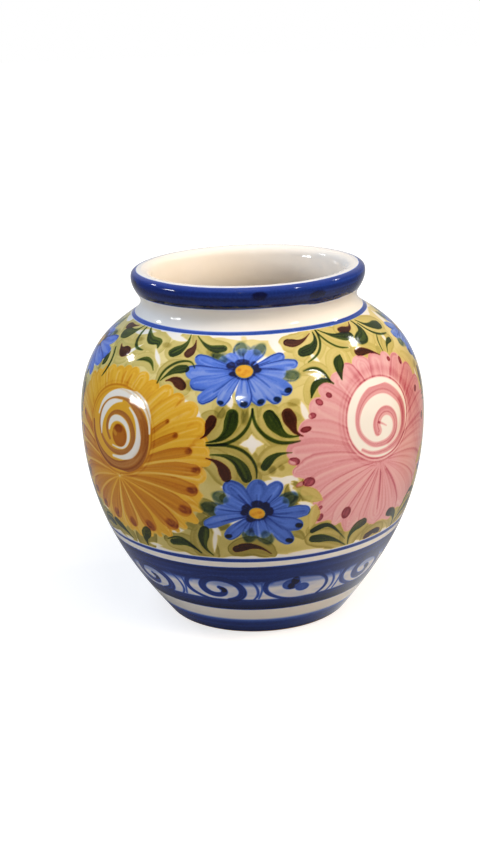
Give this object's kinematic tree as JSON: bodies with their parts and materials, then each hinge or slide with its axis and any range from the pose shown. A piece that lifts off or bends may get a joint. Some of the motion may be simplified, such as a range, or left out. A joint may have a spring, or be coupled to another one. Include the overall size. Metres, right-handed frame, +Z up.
{
  "type": "vase",
  "caption": "Round-bellied hand-painted earthenware vase with a short neck, a rolled lip and a turned foot ring.",
  "frame": {"origin": "centre of the foot ring's resting face, on the table", "axes": "+Z up along the axis on which the vase is turned, from the foot to the mouth; the front, with a blue flower between the yellow and the pink one, faces -Y"},
  "size_m": [0.2, 0.2, 0.2045],
  "materials": {
    "biscuit": "unglazed fired earthenware, matt",
    "painted_glaze": "white tin glaze painted with cobalt, copper, iron and antimony colours, glossy",
    "white_glaze": "plain white tin glaze, glossy"
  },
  "bodies": {
    "root": {"clay_body": "biscuit", "outside_glaze": "painted_glaze", "inside_glaze": "white_glaze", "base_glaze": "white_glaze"}
  },
  "joints": []
}
